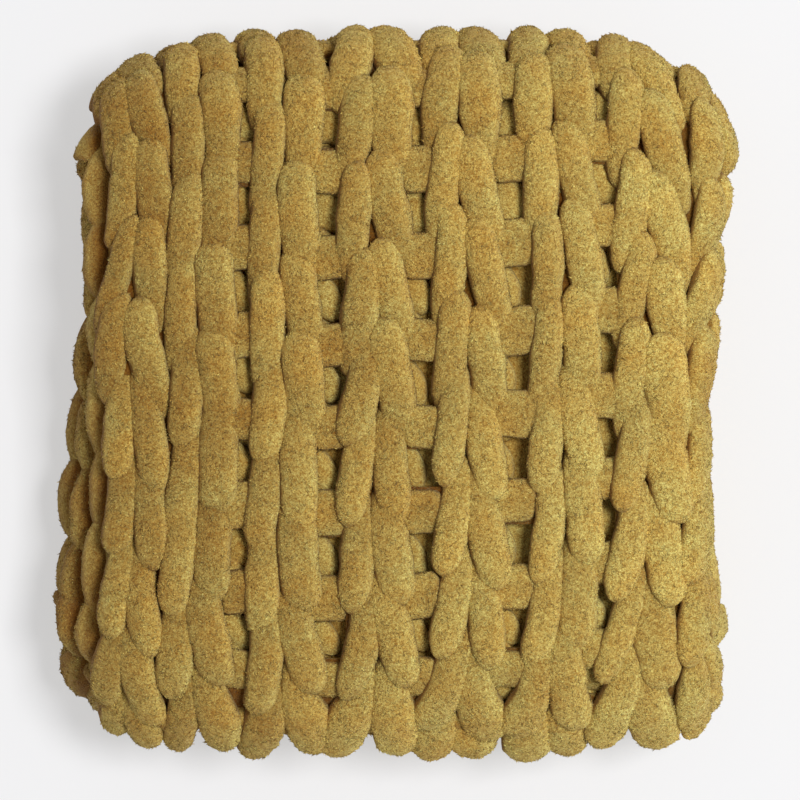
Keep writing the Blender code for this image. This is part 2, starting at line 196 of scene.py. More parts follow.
lumpWaves = {"count": 7, "coarsest": 0.7, "finest": 1.4, "phase": 6.3, "divide": 3.2}


def lumps(points, size, seed):
    # Smooth unevenness of about that size, mostly between -1 and 1
    waves = np.random.default_rng(seed)
    total = np.zeros(points.shape[:-1])
    for _ in range(lumpWaves["count"]):
        way = waves.normal(size=3)
        finer = waves.uniform(lumpWaves["coarsest"], lumpWaves["finest"])
        way *= 2 * math.pi / size * finer / np.linalg.norm(way)
        total += np.sin(points @ way + waves.uniform(0, lumpWaves["phase"]))
    return total / lumpWaves["divide"]


def meshPiece(name, points, triangles, tone):
    mesh = bpy.data.meshes.new(name)
    mesh.vertices.add(len(points))
    mesh.vertices.foreach_set("co", np.asarray(points, np.float32).ravel())
    mesh.loops.add(len(triangles) * 3)
    mesh.loops.foreach_set("vertex_index", np.asarray(triangles, np.int32).ravel())
    mesh.polygons.add(len(triangles))
    mesh.polygons.foreach_set("loop_start", np.arange(0, len(triangles) * 3, 3, dtype=np.int32))
    mesh.update(calc_edges=True)
    mesh.validate()
    mesh.shade_smooth()
    shade = mesh.attributes.new("tone", "FLOAT", "POINT")
    shade.data.foreach_set("value", np.asarray(tone, np.float32))
    piece = bpy.data.objects.new(name, mesh)
    bpy.context.scene.collection.objects.link(piece)
    return piece


def allWales():
    wales = list(topWales)
    for i in range(backWales["count"]):
        at = wales[-1]["at"] + backWales["pitch"]
        if at < knit["width"] - backWales["pitch"] / 3:
            shift = backWales["swing"] * math.sin(backWales["turn"] * i)
            more = {"shift": shift, "late": 0, "gap": 0, "lens": backWales["lens"]}
            wales.append({"at": at, "ladder": backWales["ladder"], **more})
    return wales


wales = allWales()

# One leg of a stitch: a soft rod, thick in the middle, whose first end lies on
# the leg next to it while its other end sinks under the one after. Pairs of
# values are for a straight leg and what a leaning oval adds.
leg = {
    "firstMargin": 0.002,
    "lastMargin": 0.010,
    "lap": 0.009,
    "tail": 0.017,
    "pastEnd": 0.011,
    "narrowest": 0.0096,
    "widest": 0.0122,
    "sideWidth": {-1: 0.98, 1: 1.08},
    "out": 0.0094,
    "flatShare": 0.3,
    "cap": 0.015,
    "capPower": 2.2,
    "waist": (0.97, -0.10),
    "belly": (0.05, 0.13),
    "bellyReach": 1.15,
    "height": 0.0024,
    "sink": 0.0066,
    "sinkFrom": 0.35,
    "sinkOver": 0.6,
    "tip": 0.0040,
    "leastTip": -0.5,
    "tipRate": 3.6,
    "spread": 0.0068,
    "leastSpread": 0.25,
    "leanRate": 0.8,
    "leanMiddle": 0.45,
    "mostLens": 1.6,
    "tone": 0.52,
    "lapTurn": 1.058,
}

# The legs wander a little to the left and right along the cloth
legWander = {
    "size": 0.0036,
    "short": 0.041,
    "shortStart": 0.6,
    "perWale": 0.9,
    "long": 0.094,
    "longStart": 1.3,
}

# Near the front the legs are all leaning ovals, and near both ends of the top
# run they close over the ladders
legEnds = {
    "allOvals": 1.16,
    "frontLens": 1.3,
    "frontSwell": 0.06,
    "closeFront": 1.235,
    "closeBack": 0.915,
    "backShare": 0.5,
    "over": 0.03,
    "closeShare": 0.5,
    "closeSwell": 0.55,
}

# The first wale, at the left edge: how far its two legs move to the left and
# down, and how far the edge is drawn in again near its front
leftEdge = {
    "shift": {-1: -0.0065, 1: -0.0020},
    "drop": {-1: 0.0035, 1: 0.0},
    "shiftFrom": 0.94,
    "shiftOver": 0.09,
    "tuck": 0.010,
    "tuckFrom": 1.03,
    "tuckOver": 0.12,
    "easeFrom": 1.21,
    "easeOver": 0.04,
    "ease": 0.5,
    "tuckShare": {-1: 0.8, 1: 0.4},
}

# How much one leg may differ from the next
legSpread = {
    "start": 0.0025,
    "lens": 0.15,
    "width": 0.08,
    "depth": 0.06,
    "lean": 0.45,
    "tail": 0.003,
    "sideways": 0.0010,
    "height": 0.0014,
    "tone": 0.07,
}


def legHalf(number, way):
    # Half the width that a wale gives to its left (-1) or right (1) leg
    wale = wales[number]
    if way < 0:
        last = wales[number - 1]
        before = last["at"] + last["ladder"] if number else leg["firstMargin"]
        return (wale["at"] - before) / (4 if number else 2)
    farEdge = knit["width"] + leg["lastMargin"]
    after = wales[number + 1]["at"] if number + 1 < len(wales) else farEdge
    return (after - wale["at"] - wale["ladder"]) / 4


def courseStarts(shift):
    first = topStart + shift
    low = -int(first / knit["course"]) - 1
    high = int((knit["length"] - first) / knit["course"]) + 1
    return [first + knit["course"] * k for k in range(low, high)]


# Painted light on each strand: a painted highlight makes its sides lighter than its
# crest, most at its right, where the light comes from, and painted shade darkens the
# parts that turn down into the gaps, the tucked first end and the far end
rodPaintedLight = {
    "rim": 0.14,
    "rimLeft": 0.4,
    "rimRight": 1.2,
    "rimFrom": 0.99,
    "rimOver": 0.35,
    "deep": 0.54,
    "deepFrom": 0.62,
    "deepRight": 0.36,
    "deepOver": 0.32,
    "tip": 0.35,
    "tipShare": 0.05,
    "fade": 0.16,
    "fadeMiddle": 0.35,
}
rodLumps = {"coarse": 0.024, "coarseSeed": 3, "fine": 0.009, "fineSeed": 4}
upward = math.pi / 2


def strand(shape, along, outward, tone, crest, shaded):
    # What strandMesh needs to know of one rod: shape gives u, v, w, both radii and
    # the move to the left at a share of its length
    return {
        "shape": shape,
        "along": along,
        "outward": outward,
        "tone": tone,
        "crest": crest,
        "shaded": shaded,
    }


def strandMesh(paths, rings, sides, uneven):
    # Rods through the cloth: each path gives its middle and radii at a share of
    # its length, along u or along v. Returns points, triangles, tones and how far
    # each point is out of the cloth.
    share = (1 - np.cos(np.linspace(0, math.pi, rings + 2)[1:-1])) / 2
    around = np.linspace(0, 2 * math.pi, sides, endpoint=False)
    allU, allV, allW, allOut, allTone = [], [], [], [], []
    for path in paths:
        u, v, w, side, thick, out = path["shape"](share)
        endU, endV, endW, _, _, endOut = path["shape"](np.array([0.0, 1.0]))
        ringW = w[:, None] + thick[:, None] * np.sin(around)
        spread = side[:, None] * np.cos(around)
        ringU = u[:, None] + (spread if path["along"] == "v" else 0 * spread)
        ringV = v[:, None] + (spread if path["along"] == "u" else 0 * spread)
        allU.append(np.concatenate([endU[:1], ringU.ravel(), endU[1:]]))
        allV.append(np.concatenate([endV[:1], ringV.ravel(), endV[1:]]))
        allW.append(np.concatenate([endW[:1], ringW.ravel(), endW[1:]]))
        allOut.append(np.concatenate([endOut[:1], np.repeat(out, sides), endOut[1:]]))
        # Painted highlight on the strand's sides, most at its right, and painted shade where it
        # turns down, at its very first end and towards its far end
        rise = np.cos(around - path["crest"])
        deep = rodPaintedLight["deep"] * path["shaded"]
        right = (1 + np.cos(around)) / 2 if path["along"] == "v" else 0.5
        rim = rodPaintedLight["rim"] * (rodPaintedLight["rimLeft"] + rodPaintedLight["rimRight"] * right)
        turnedDown = rodPaintedLight["deepFrom"] - rodPaintedLight["deepRight"] * right - rise
        glow = rim * smooth((rodPaintedLight["rimFrom"] - rise) / rodPaintedLight["rimOver"])
        glow = glow - deep * smooth(turnedDown / rodPaintedLight["deepOver"])
        tip = rodPaintedLight["tip"] * (1 - smooth(share / rodPaintedLight["tipShare"]))
        fade = rodPaintedLight["fade"] * (rodPaintedLight["fadeMiddle"] - share)
        ringPaintedLight = (glow + (fade - tip)[:, None]).ravel()
        ownPaintedLight = np.concatenate([ringPaintedLight[:1], ringPaintedLight, ringPaintedLight[:1]])
        allTone.append(path["tone"] + ownPaintedLight)
    count = rings * sides + 2
    u, v, w, out = (np.array(a) for a in (allU, allV, allW, allOut))
    points = foldCloth(u.ravel(), v.ravel(), w.ravel(), out.ravel())
    points = points.reshape(len(paths), count, 3)
    coarse = lumps(points, rodLumps["coarse"], rodLumps["coarseSeed"])
    fine = lumps(points, rodLumps["fine"], rodLumps["fineSeed"])
    swell = 1 + uneven * (0.5 * coarse + 0.5 * fine)[:, 1:-1]
    for values in (u, v, w):
        rows = values[:, 1:-1].reshape(len(paths), rings, sides)
        spine = np.repeat(rows.mean(2), sides, 1)
        values[:, 1:-1] = spine + (values[:, 1:-1] - spine) * swell
    points = foldCloth(u.ravel(), v.ravel(), w.ravel(), out.ravel()).reshape(-1, 3)
    ring, side = np.meshgrid(np.arange(rings - 1), np.arange(sides), indexing="ij")
    a = 1 + ring * sides + side
    b = 1 + ring * sides + (side + 1) % sides
    quads = np.stack([a, b, b + sides, a, b + sides, a + sides], -1).reshape(-1, 3)
    k = np.arange(sides)
    firstFan = np.stack([0 * k, 1 + (k + 1) % sides, 1 + k], -1)
    lastRing = 1 + (rings - 1) * sides
    lastFan = np.stack([0 * k + count - 1, lastRing + k, lastRing + (k + 1) % sides], -1)
    oneRod = np.concatenate([quads, firstFan, lastFan])
    triangles = []
    for i, path in enumerate(paths):
        rod = oneRod + i * count
        triangles.append(rod if path["outward"] else rod[:, ::-1])
    return points, np.concatenate(triangles), np.concatenate(allTone), w.ravel()


def leftTuck(v):
    # How far the left edge of the top run is drawn in near its front
    inward = leftEdge["tuck"] * smooth((v - leftEdge["tuckFrom"]) / leftEdge["tuckOver"])
    eased = smooth((v - leftEdge["easeFrom"]) / leftEdge["easeOver"])
    return inward * (1 - leftEdge["ease"] * eased)


def capped(fromEnd):
    # How full a leg is at a distance from its end, from 0 to 1
    near = np.clip(1 - fromEnd / leg["cap"], 0, 1)
    return np.sqrt(np.clip(1 - near ** leg["capPower"], 0, 1))


def legPath(number, way, start, wild=1.0):
    # A leg between two course marks. Up to lapTurn, in the back half, the end
    # that lies on top is its upper one, and in the front half its lower one.
    wale = wales[number]
    half = legHalf(number, way)
    jitter = dice.uniform(-1, 1, 8) * wild
    begin = start + (wale["late"] if way < 0 else 0) + legSpread["start"] * jitter[0]
    forward = begin + knit["course"] / 2 < leg["lapTurn"]
    atFront = float(smooth((begin - legEnds["allOvals"]) / legEnds["over"]))
    lens = wale["lens"] + max(legEnds["frontLens"] - wale["lens"], 0) * atFront
    lens = float(np.clip(lens + legSpread["lens"] * jitter[7], 0, leg["mostLens"]))
    wide = min(max(half, leg["narrowest"]), leg["widest"])
    wide *= 1 + legSpread["width"] * jitter[1]
    wide *= leg["sideWidth"][way]
    wide *= 1 + legEnds["frontSwell"] * atFront
    edgeShift = leftEdge["shift"][way] if number == 0 else 0.0
    edgeDrop = leftEdge["drop"][way] if number == 0 else 0.0
    deep = leg["out"] * (1 + legSpread["depth"] * jitter[2])
    spread = leg["spread"] * (leg["leastSpread"] + (1 - leg["leastSpread"]) * lens)
    spread *= 1 + legSpread["lean"] * jitter[3]
    beside = wale if way > 0 else wales[number - 1]
    toLadder = beside["ladder"] / 2 if number else 0.0
    tail, longer = leg["tail"], legSpread["tail"] * jitter[4]
    if forward:
        low, high = begin - leg["lap"], begin + knit["course"] + tail + longer
    else:
        low, high = begin + knit["course"] + leg["lap"], begin - tail - longer
        low = min(low, knit["length"] + leg["pastEnd"] + longer)
    span = abs(high - low)
    sideways = legSpread["sideways"] * jitter[5]
    height = leg["height"] + legSpread["height"] * jitter[6] - edgeDrop
    waist = leg["waist"][0] + leg["waist"][1] * lens
    swell = leg["belly"][0] + leg["belly"][1] * lens

    def shape(t):
        v = low + (high - low) * t
        full = capped(t * span) * capped((1 - t) * span)
        belly = waist + swell * np.sin(math.pi * np.clip(t * leg["bellyReach"], 0, 1))
        down = (v - begin) / knit["course"]
        atFrontEnd = smooth((v - legEnds["closeFront"]) / legEnds["over"])
        atBackEnd = smooth((legEnds["closeBack"] - v) / legEnds["over"])
        closed = atFrontEnd + legEnds["backShare"] * atBackEnd
        lean = smooth(down * leg["leanRate"]) - leg["leanMiddle"]
        u = wale["at"] + way * (half + spread * lean) + sideways
        u += way * toLadder * legEnds["closeShare"] * closed
        sway = np.sin(
            v / legWander["short"] + legWander["perWale"] * number + legWander["shortStart"]
        )
        u += legWander["size"] * sway * np.sin(v / legWander["long"] + legWander["longStart"])
        if number == 0:
            moved = edgeShift * smooth((v - leftEdge["shiftFrom"]) / leftEdge["shiftOver"])
            u += leftTuck(v) * leftEdge["tuckShare"][way] + moved
        belly = belly * (1 + legEnds["closeSwell"] * closed * toLadder / wide)
        sink = leg["sink"] * smooth((t - leg["sinkFrom"]) / leg["sinkOver"])
        sink += leg["tip"] * max(1 - lens, leg["leastTip"]) * (1 - smooth(t * leg["tipRate"]))
        thick = deep * (leg["flatShare"] + (1 - leg["flatShare"]) * belly) * full
        return u, v, height - sink, wide * belly * full, thick, 0 * t

    tone = leg["tone"] + legSpread["tone"] * jitter[7]
    return strand(shape, "v", forward, tone, upward, 1.0)


# Where the legs of the top run begin and end: behind it, and before the far end
topReach = {"behind": 0.02, "toEnd": 0.010}


def topStitches():
    paths = []
    for number in range(len(topWales)):
        for start in courseStarts(wales[number]["shift"]):
            if runStarts[3] - topReach["behind"] < start < knit["length"] - topReach["toEnd"]:
                paths += [legPath(number, way, start) for way in (-1, 1)]
    return paths


# The lobes of yarn along the edges of the knit, at the left of the pile and along
# its first and last rows. Each place of a front lobe is how far it is pushed out
# of the cloth and how far it lies inside the edge.
edgeRod = {
    "across": 0.0100,
    "out": 0.0098,
    "roundness": 2.6,
    "inset": 0.0080,
    "lean": 0.0050,
    "leanFrom": 0.15,
    "leanOver": 0.7,
    "lap": 0.007,
    "firstStart": 0.004,
    "courseShift": 0.5,
    "lobes": 4,
    "lobeLength": 0.026,
    "lobePlaces": [(0.022, 0.0), (0.029, 0.018)],
    "lobeSwell": 1.22,
    # Painted shade: edge lobes and end loops get a lower tone than the legs, as the lower layers
    # lie in the top run's shade
    "tone": 0.41,
    "shaded": 0.45,
    "endPitch": 0.0252,
    "endHalf": 0.62,
    "endInset": 0.005,
    "endThick": 1.05,
    "endSlant": 0.004,
    "lastInset": 0.017,
    "lastSunk": -0.0035,
}

# How much one lobe may differ from the next
edgeSpread = {
    "tone": 0.10,
    "thick": 0.06,
    "endPlace": 0.002,
    "ends": 0.004,
    "reach": 0.003,
    "width": 0.08,
    "push": 0.0015,
}


def fullness(t, power):
    # How full a strand is along its length, closed at both ends
    return np.sqrt(np.clip(1 - np.abs(2 * t - 1) ** power, 0, 1))


def edgeLegs():
    # The stitches along both long edges of the knit, which show at the pile's
    # left, the lobes of the front left corner and the loops of the first row
    paths = []
    for number, way in ((0, -1), (len(wales) - 1, 1)):
        for start in courseStarts(wales[number]["shift"] * edgeRod["courseShift"]):
            if not edgeRod["firstStart"] < start < knit["length"] - knit["course"]:
                continue
            onTop = number == 0 and start > runStarts[3] - topReach["behind"]
            if not onTop:
                paths.append(edgePath(way, start, knit["course"]))
    for part in range(edgeRod["lobes"]):
        start = runStarts[1] + (runStarts[2] - runStarts[1]) * part / edgeRod["lobes"]
        for push, inset in edgeRod["lobePlaces"]:
            paths.append(edgePath(1, start, edgeRod["lobeLength"], push, inset))
    return paths + endRow(False)


def endRow(last):
    count = round(knit["width"] / edgeRod["endPitch"])
    return [endPath((part + 0.5) * edgeRod["endPitch"], last) for part in range(count)]


def endPath(middle, last):
    # One loop of the first or the last row, along an end of the knit
    jitter = dice.uniform(-1, 1, 3)
    half = edgeRod["endPitch"] * edgeRod["endHalf"]
    at = knit["length"] - edgeRod["lastInset"] if last else edgeRod["endInset"]
    height = edgeRod["lastSunk"] if last and middle < knit["panel"] else 0.0

    def shape(t):
        full = fullness(t, edgeRod["roundness"])
        thick = edgeRod["out"] * (edgeRod["endThick"] + edgeSpread["thick"] * jitter[0]) * full
        u = middle + half * (2 * t - 1)
        v = at + edgeSpread["endPlace"] * jitter[1] + edgeRod["endSlant"] * (2 * t - 1)
        return u, v, height + 0 * t, edgeRod["across"] * full, thick, 0 * t

    tone = edgeRod["tone"] + edgeSpread["tone"] * jitter[2]
    return strand(shape, "u", False, tone, math.pi, edgeRod["shaded"])


def edgePath(way, start, length, push=0.0, inset=0.0):
    # A lobe along an edge; push moves it out of the cloth as it goes round a fold
    jitter = dice.uniform(-1, 1, 6)
    u = 0.0 if way < 0 else knit["width"]
    low = start - edgeRod["lap"] + edgeSpread["ends"] * jitter[0]
    high = start + length + edgeRod["lap"] + edgeSpread["ends"] * jitter[1]
    reach = edgeSpread["reach"] * (0.5 + jitter[2])
    swell = edgeRod["lobeSwell"] if push else 1.0

    def shape(t):
        v = low + (high - low) * t
        full = fullness(t, edgeRod["roundness"])
        lean = np.sin(math.pi * (edgeRod["leanFrom"] + edgeRod["leanOver"] * t))
        out = reach + edgeRod["lean"] * lean
        inside = u - way * (edgeRod["inset"] + inset) + 0 * t
        wide = edgeRod["across"] * (1 + edgeSpread["width"] * jitter[3]) * full * swell
        turn = np.clip((v - runStarts[1]) / (runStarts[2] - runStarts[1]), 0, 1)
        pushed = push * np.sin(math.pi * turn) + edgeSpread["push"] * jitter[4]
        return inside, v, pushed, wide, edgeRod["out"] * full * swell, out

    tone = edgeRod["tone"] + edgeSpread["tone"] * jitter[5]
    crest = math.pi if way < 0 else 0.0
    return strand(shape, "v", True, tone, crest, edgeRod["shaded"])


# How far the legs that show from the sides reach to the left and right of the
# side fold, past the front fold and towards both ends, and how uneven they are
sideReach = {
    "left": 0.015,
    "right": 0.020,
    "front": 0.012,
    "underTop": 0.004,
    "first": -0.010,
    "last": 0.035,
    "uneven": 0.8,
}


def sideStitches():
    # Legs that show only from the sides: round the side fold and the front fold
    paths = []
    foldStart = knit["panel"] - sideReach["left"]
    foldEnd = knit["panel"] + knit["sideArc"] + sideReach["right"]
    frontStart, frontEnd = runStarts[1] - sideReach["front"], runStarts[2] + sideReach["front"]
    for number, wale in enumerate(wales):
        under = number >= len(topWales)
        for start in courseStarts(wale["shift"]):
            for way in (-1, 1):
                at = wale["at"] + way * legHalf(number, way)
                middle = start + knit["course"] / 2
                atSide = foldStart < at < foldEnd
                atFront = frontStart < middle < frontEnd
                lower = middle < runStarts[3] - sideReach["underTop"] or under
                onCloth = sideReach["first"] < start < knit["length"] - sideReach["last"]
                if (atSide or (atFront and under)) and lower and onCloth:
                    paths.append(legPath(number, way, start, sideReach["uneven"]))
    return paths


rung = {
    "out": 0.0072,
    "height": -0.0030,
    "tall": 0.54,
    "reach": 0.006,
    "gapShare": 0.50,
    "toEnd": 0.012,
    "roundness": 8,
    "tone": 0.46,
    "shaded": 0.8,
}
rungSpread = {"tall": 0.08, "slope": 0.0016, "place": 0.0012, "height": 0.0008, "tone": 0.06}


def ladderRungs():
    # Bars of yarn across each ladder, set back between the wales
    paths = []
    for number, wale in enumerate(topWales[:-1]):
        if not wale["ladder"]:
            continue
        left = wale["at"] + 2 * legHalf(number, 1)
        for start in courseStarts(wale["gap"] * knit["course"]):
            middle = start + (1 + rung["gapShare"]) / 2 * knit["course"]
            if runStarts[3] < middle < knit["length"] - rung["toEnd"]:
                paths.append(rungPath(left, left + wale["ladder"], middle))
    return paths


def rungPath(left, right, middle):
    jitter = dice.uniform(-1, 1, 5)
    tall = (1 - rung["gapShare"]) * knit["course"] * rung["tall"]
    tall *= 1 + rungSpread["tall"] * jitter[0]
    slope = rungSpread["slope"] * jitter[1]

    def shape(t):
        u = left - rung["reach"] + (right - left + 2 * rung["reach"]) * t
        full = fullness(t, rung["roundness"])
        v = middle + rungSpread["place"] * jitter[2] + slope * (2 * t - 1)
        height = rung["height"] + rungSpread["height"] * jitter[3] + 0 * t
        return u, v, height, tall * full, rung["out"] * full, 0 * t

    tone = rung["tone"] + rungSpread["tone"] * jitter[4]
    return strand(shape, "u", False, tone, upward, rung["shaded"])


purl = {
    "out": 0.0080,
    "height": -0.0098,
    "across": 0.0142,
    "reach": 0.017,
    "offset": 0.012,
    "ends": 0.03,
    "steps": (0.0, 0.5),
    "inset": 0.003,
    "bow": 0.004,
    "roundness": 3,
    "tone": 0.62,
    "shaded": 0.5,
}
purlSpread = {"place": 0.003, "height": 0.0008, "tone": 0.05}


def purlBars():
    # The wrong side of the layer below, which shows through the ladders
    paths = []
    for number, wale in enumerate(topWales[:-1]):
        if not wale["ladder"]:
            continue
        middle = wale["at"] + 2 * legHalf(number, 1) + wale["ladder"] / 2
        for start in courseStarts(wale["gap"] * knit["course"] + purl["offset"]):
            if topStart - purl["ends"] < start < knit["length"] - purl["ends"]:
                for step in purl["steps"]:
                    paths.append(purlPath(middle, start + step * knit["course"]))
    return paths


def purlPath(middle, at):
    jitter = dice.uniform(-1, 1, 4)
    farSide = knit["width"] - middle - purl["inset"]

    def shape(t):
        u = farSide + purl["reach"] * (2 * t - 1)
        full = fullness(t, purl["roundness"])
        bow = purl["bow"] * np.cos(math.pi * (2 * t - 1))
        v = at + purlSpread["place"] * jitter[0] - bow
        height = purl["height"] + purlSpread["height"] * jitter[1] + 0 * t
        return u, v, height, purl["across"] * full, purl["out"] * full, 0 * t

    tone = purl["tone"] + purlSpread["tone"] * jitter[2]
    return strand(shape, "u", False, tone, -upward, purl["shaded"])


# The ground's surface is sunk where stitches cover it and plain elsewhere, and it is
# painted darker there as painted shade. Its slots are a little wider and longer than
# the gaps between wales and rungs.
ground = {
    "step": 0.0075,
    "short": 0.014,
    "tuck": 0.007,
    "tuckOver": 0.040,
    "raised": -0.0030,
    "plain": 0.0092,
    "back": 0.0088,
    "backBumps": 0.0010,
    "rim": 0.0085,
    "tone": 0.50,
    "shaded": 0.50,
    "topFade": 0.03,
    "foldFade": 0.02,
    "foldMargin": 0.01,
    "slotWider": 0.004,
    "slotLonger": 0.002,
    "slotsFrom": 0.012,
    "slotsToEnd": 0.022,
}


def coveredShare(u, v):
    # 1 where stitches lie on the ground, 0 where it is plain
    topFade, fade, margin = ground["topFade"], ground["foldFade"], ground["foldMargin"]
    top = smooth((v - runStarts[3]) / topFade)
    top *= 1 - smooth((u - knit["panel"] - fade) / topFade)
    front = smooth((v - runStarts[1] + margin) / fade)
    front *= 1 - smooth((v - runStarts[2]) / fade)
    side = smooth((u - knit["panel"] + fade) / fade)
    side *= 1 - smooth((u - knit["panel"] - knit["sideArc"] - margin) / fade)
    return np.maximum(np.maximum(top, front * (u > knit["panel"])), side)


def openSlots(midU, midV):
    # True where the ground is left open between the rungs of a ladder
    slots = np.zeros(midU.shape, bool)
    for number, wale in enumerate(topWales[:-1]):
        left = wale["at"] + 2 * legHalf(number, 1) - ground["slotWider"]
        right = left + wale["ladder"] + 2 * ground["slotWider"]
        inLadder = (midU > left) & (midU < right) & (wale["ladder"] > 0)
        for start in courseStarts(wale["gap"] * knit["course"]):
            end = start + rung["gapShare"] * knit["course"]
            later = start > runStarts[3] + ground["slotsFrom"]
            if later and end < knit["length"] - ground["slotsToEnd"]:
                after = midV > start - ground["slotLonger"]
                slots |= inLadder & after & (midV < end + ground["slotLonger"])
    return slots


def groundSheet():
    # The knit under its stitches: one sheet on the folds of the solid, with the
    # ladder gaps left open
    acrossCount = round(knit["width"] / ground["step"])
    alongCount = round(knit["length"] / ground["step"])
    gridU, gridV = np.meshgrid(
        np.linspace(0, knit["width"], acrossCount + 1),
        np.linspace(0, knit["length"] - ground["short"], alongCount + 1),
        indexing="ij",
    )
    toEdge = np.minimum(gridU, knit["width"] - gridU)
    toEnd = np.minimum(gridV, knit["length"] - ground["short"] - gridV)
    fromRim = np.clip(1 - np.minimum(toEdge, toEnd) / ground["rim"], 0, 1)
    rounded = np.sqrt(np.clip(1 - fromRim ** 2, 0, 1))
    covered = coveredShare(gridU, gridV)
    surface = ground["plain"] + (ground["raised"] - ground["plain"]) * covered
    rightSide = surface * rounded
    bumps = np.cos(2 * math.pi * gridV / (knit["course"] / 2))
    wrongSide = -(ground["back"] + ground["backBumps"] * bumps) * rounded
    midU = (gridU[1:, 1:] + gridU[:-1, :-1]) / 2
    midV = (gridV[1:, 1:] + gridV[:-1, :-1]) / 2
    keep = ~openSlots(midU, midV)
    number = np.arange(gridU.size).reshape(gridU.shape)
    a, b = number[:-1, :-1][keep], number[1:, :-1][keep]
    c, d = number[1:, 1:][keep], number[:-1, 1:][keep]
    top = np.concatenate([np.stack([a, c, b], -1), np.stack([a, d, c], -1)])
    below = top[:, ::-1] + gridU.size
    edges = np.concatenate([top[:, [0, 1]], top[:, [1, 2]], top[:, [2, 0]]])
    known = set(map(tuple, edges.tolist()))
    rim = np.array([(i, j) for i, j in known if (j, i) not in known])
    walls = np.concatenate(
        [
            np.stack([rim[:, 1], rim[:, 0], rim[:, 0] + gridU.size], -1),
            np.stack([rim[:, 1], rim[:, 0] + gridU.size, rim[:, 1] + gridU.size], -1),
        ]
    )
    onTop = smooth((gridV - runStarts[3]) / ground["topFade"])
    onTop *= 1 - smooth(gridU / ground["tuckOver"])
    tucked = (-(ground["tuck"] + leftTuck(gridV)) * onTop).ravel()
    upper = foldCloth(gridU.ravel(), gridV.ravel(), rightSide.ravel(), tucked)
    lower = foldCloth(gridU.ravel(), gridV.ravel(), wrongSide.ravel(), tucked)
    triangles = np.concatenate([top, below, walls])
    used = np.unique(triangles)
    place = np.zeros(2 * gridU.size, int)
    place[used] = np.arange(len(used))
    points = np.concatenate([upper, lower])[used]
    # Painted shade: the ground's right side is darker where stitches cover it
    paintedShadeTone = ground["tone"] - ground["shaded"] * covered.ravel()
    tone = np.concatenate([paintedShadeTone, np.full(gridU.size, ground["tone"])])[used]
    return points, place[triangles], tone


# Painted shade: the throw is painted darker towards its left and a little lighter at its right, as
# the light falls from the right
paintedSideShade = {"base": -0.096, "change": 0.142}


def addPiece(name, points, triangles, tone, material):
    across = (points[:, 0] - pile["middle"][0]) / pile["halfWidth"]
    # Painted shade, darker towards the left of the pile
    shade = tone + paintedSideShade["base"] + paintedSideShade["change"] * across
    piece = meshPiece(name, points, triangles, shade)
    piece.data.materials.append(material)
    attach(piece, "root")
    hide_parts("throw")
    return piece


# Short pile: small spikes that lie along the yarn, lean in swirls and rise a
# little. None grows on yarn that lies deep or in shade. Each spike gets painted
# shade at its root and a painted highlight on its tip.
nap = {
    "length": 0.0023,
    "base": 0.00052,
    "sizes": (0.75, 1.25),
    "rise": 0.45,
    "riseSpread": (0.5, 1.5),
    "swirl": 0.030,
    "swirlSeeds": (21, 22, 23),
    "stray": 0.55,
    "foot": 0.0003,
    "rootShade": 0.06,
    "mixed": 0.24,
    "tipHighlight": 0.80,
    "leastTone": 0.30,
    "leastHeight": -0.0035,
    "batches": 3,
    "perPiece": 47000,
    "share": {
        "topStitches": 0.66,
        "sideStitches": 0.13,
        "edgeStitches": 0.14,
        "ladderRungs": 0.07,
    },
}


def pileSpikes(points, triangles, tone, level, count):
    corners = points[triangles]
    cross = np.cross(corners[:, 1] - corners[:, 0], corners[:, 2] - corners[:, 0])
    area = np.linalg.norm(cross, axis=1) + 1e-12
    normal = cross / area[:, None]
    sunk = level[triangles].mean(1) < nap["leastHeight"]
    shady = tone[triangles].mean(1) < nap["leastTone"]
    weight = area * np.where(sunk | shady, 0.0, 1.0)
    chosen = dice.choice(len(triangles), size=count, p=weight / weight.sum())
    mix = dice.dirichlet((1, 1, 1), count)
    root = (corners[chosen] * mix[:, :, None]).sum(1)
    swirl = np.stack([lumps(root, nap["swirl"], seed) for seed in nap["swirlSeeds"]], -1)
    flatWay = swirl + nap["stray"] * dice.normal(size=(count, 3))
    flatWay -= (flatWay * normal[chosen]).sum(1)[:, None] * normal[chosen]
    flatWay /= np.linalg.norm(flatWay, axis=1)[:, None] + 1e-9
    rise = nap["rise"] * dice.uniform(*nap["riseSpread"], count)[:, None]
    way = rise * normal[chosen] + flatWay
    way /= np.linalg.norm(way, axis=1)[:, None]
    beside = np.cross(way, dice.normal(size=(count, 3)))
    beside /= np.linalg.norm(beside, axis=1)[:, None]
    other = np.cross(way, beside)
    size = dice.uniform(*nap["sizes"], count)
    foot = root - nap["foot"] * normal[chosen]
    made = []
    for turn in (0, 2 * math.pi / 3, 4 * math.pi / 3):
        around = math.cos(turn) * beside + math.sin(turn) * other
        made.append(foot + around * (nap["base"] * size)[:, None])
    made.append(foot + way * (nap["length"] * size)[:, None])
    spikes = np.stack(made, 1).reshape(-1, 3)
    spikes[:, 2] = np.maximum(spikes[:, 2], 0.0)
    four = np.array([(0, 1, 3), (1, 2, 3), (2, 0, 3), (0, 2, 1)])
    faces = (np.arange(count)[:, None, None] * 4 + four).reshape(-1, 3)
    # Painted shade at each spike's root and a painted highlight on its tip, both with a random
    # spread
    below = tone[triangles[chosen, 0]] - nap["rootShade"] + nap["mixed"] * dice.uniform(-1, 1, count)
    tips = below + nap["rootShade"] + nap["tipHighlight"] * dice.uniform(0, 1, count)
    shade = np.stack([below, below, below, tips], 1).ravel()
    return spikes, faces, shade
